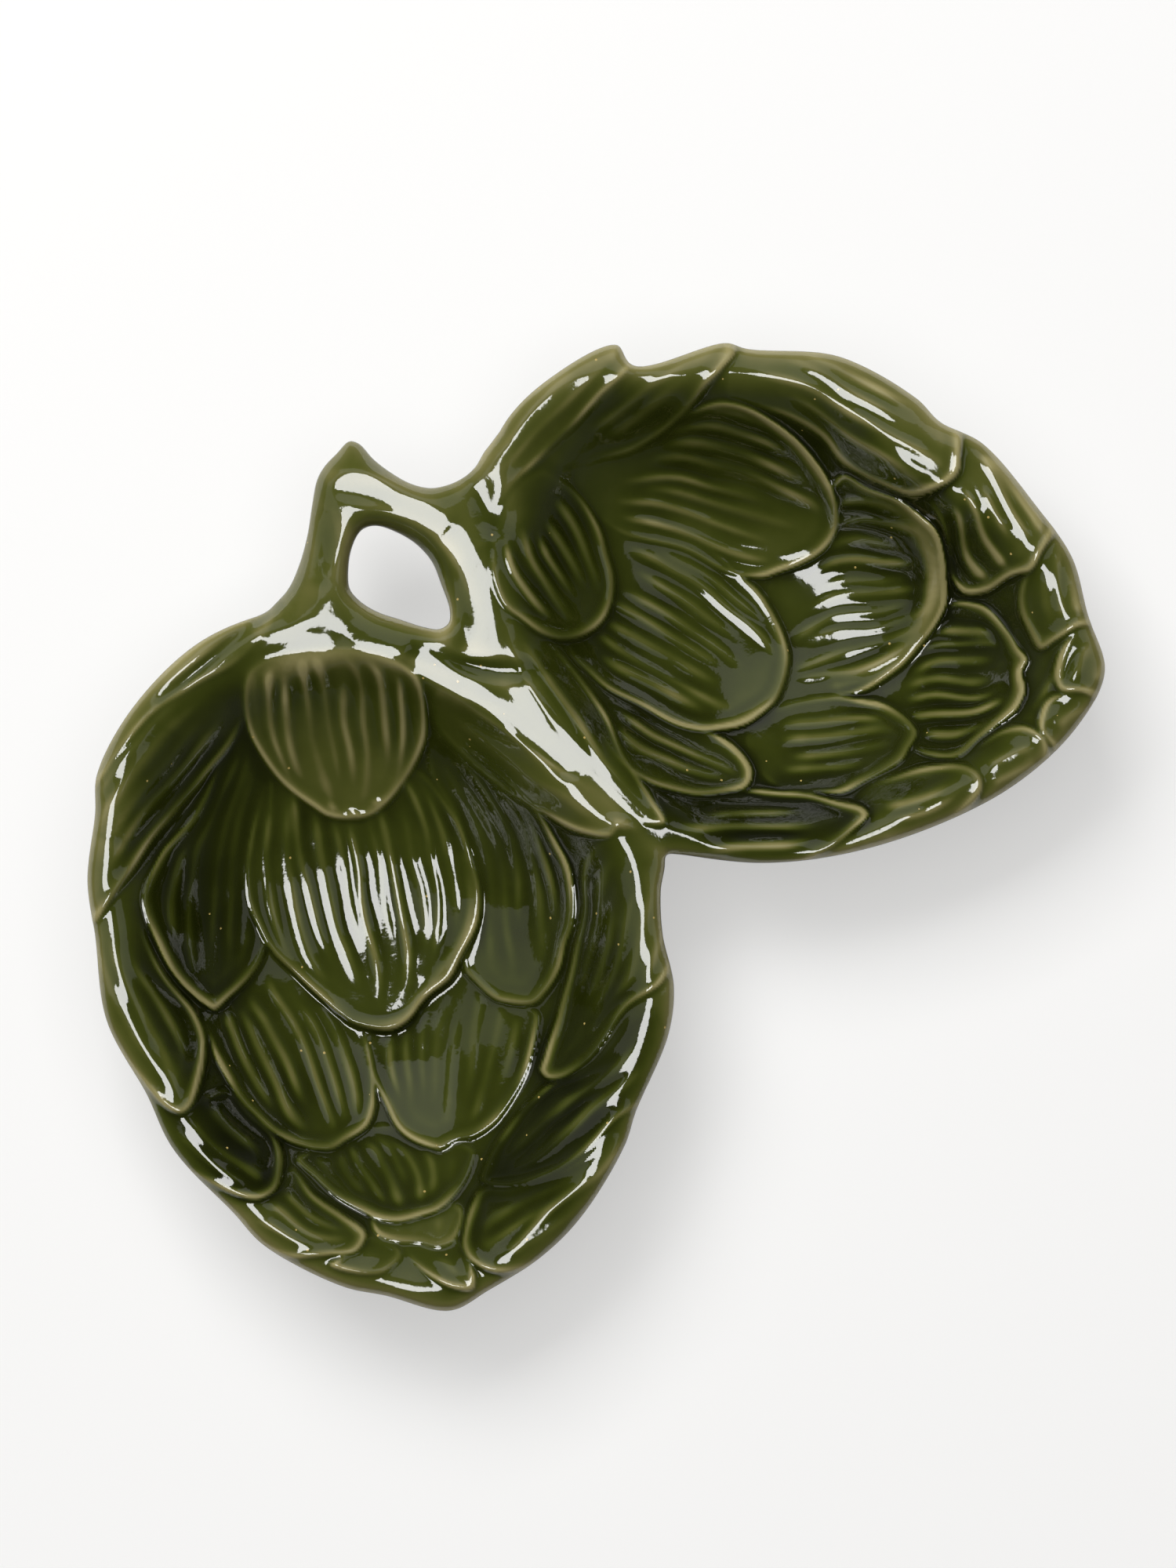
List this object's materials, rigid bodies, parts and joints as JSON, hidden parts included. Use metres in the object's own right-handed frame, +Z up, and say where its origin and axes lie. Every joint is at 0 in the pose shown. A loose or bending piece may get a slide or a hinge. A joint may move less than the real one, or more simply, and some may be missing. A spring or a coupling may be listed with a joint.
{
  "type": "antipasto dish",
  "caption": "Glazed earthenware serving dish: artichoke-shaped bowls joined side by side, with moulded leaf relief inside and a looped twig handle.",
  "frame": {"origin": "on the table, under the middle of the dish's plan", "axes": "+Z up, +X to the right and +Y away from the viewer as in the picture, with the handle at the far left"},
  "size_m": [0.2683, 0.2556, 0.0482],
  "materials": {
    "glaze": "translucent olive green glaze, high gloss, pale where it thins over edges and dark where it pools",
    "bare_clay": "bare fired clay, matt"
  },
  "bodies": {
    "root": {"left_bowl": "glaze", "right_bowl": "glaze", "stem_handle": "glaze", "left_foot_ring": "bare_clay", "right_foot_ring": "bare_clay"}
  },
  "joints": []
}
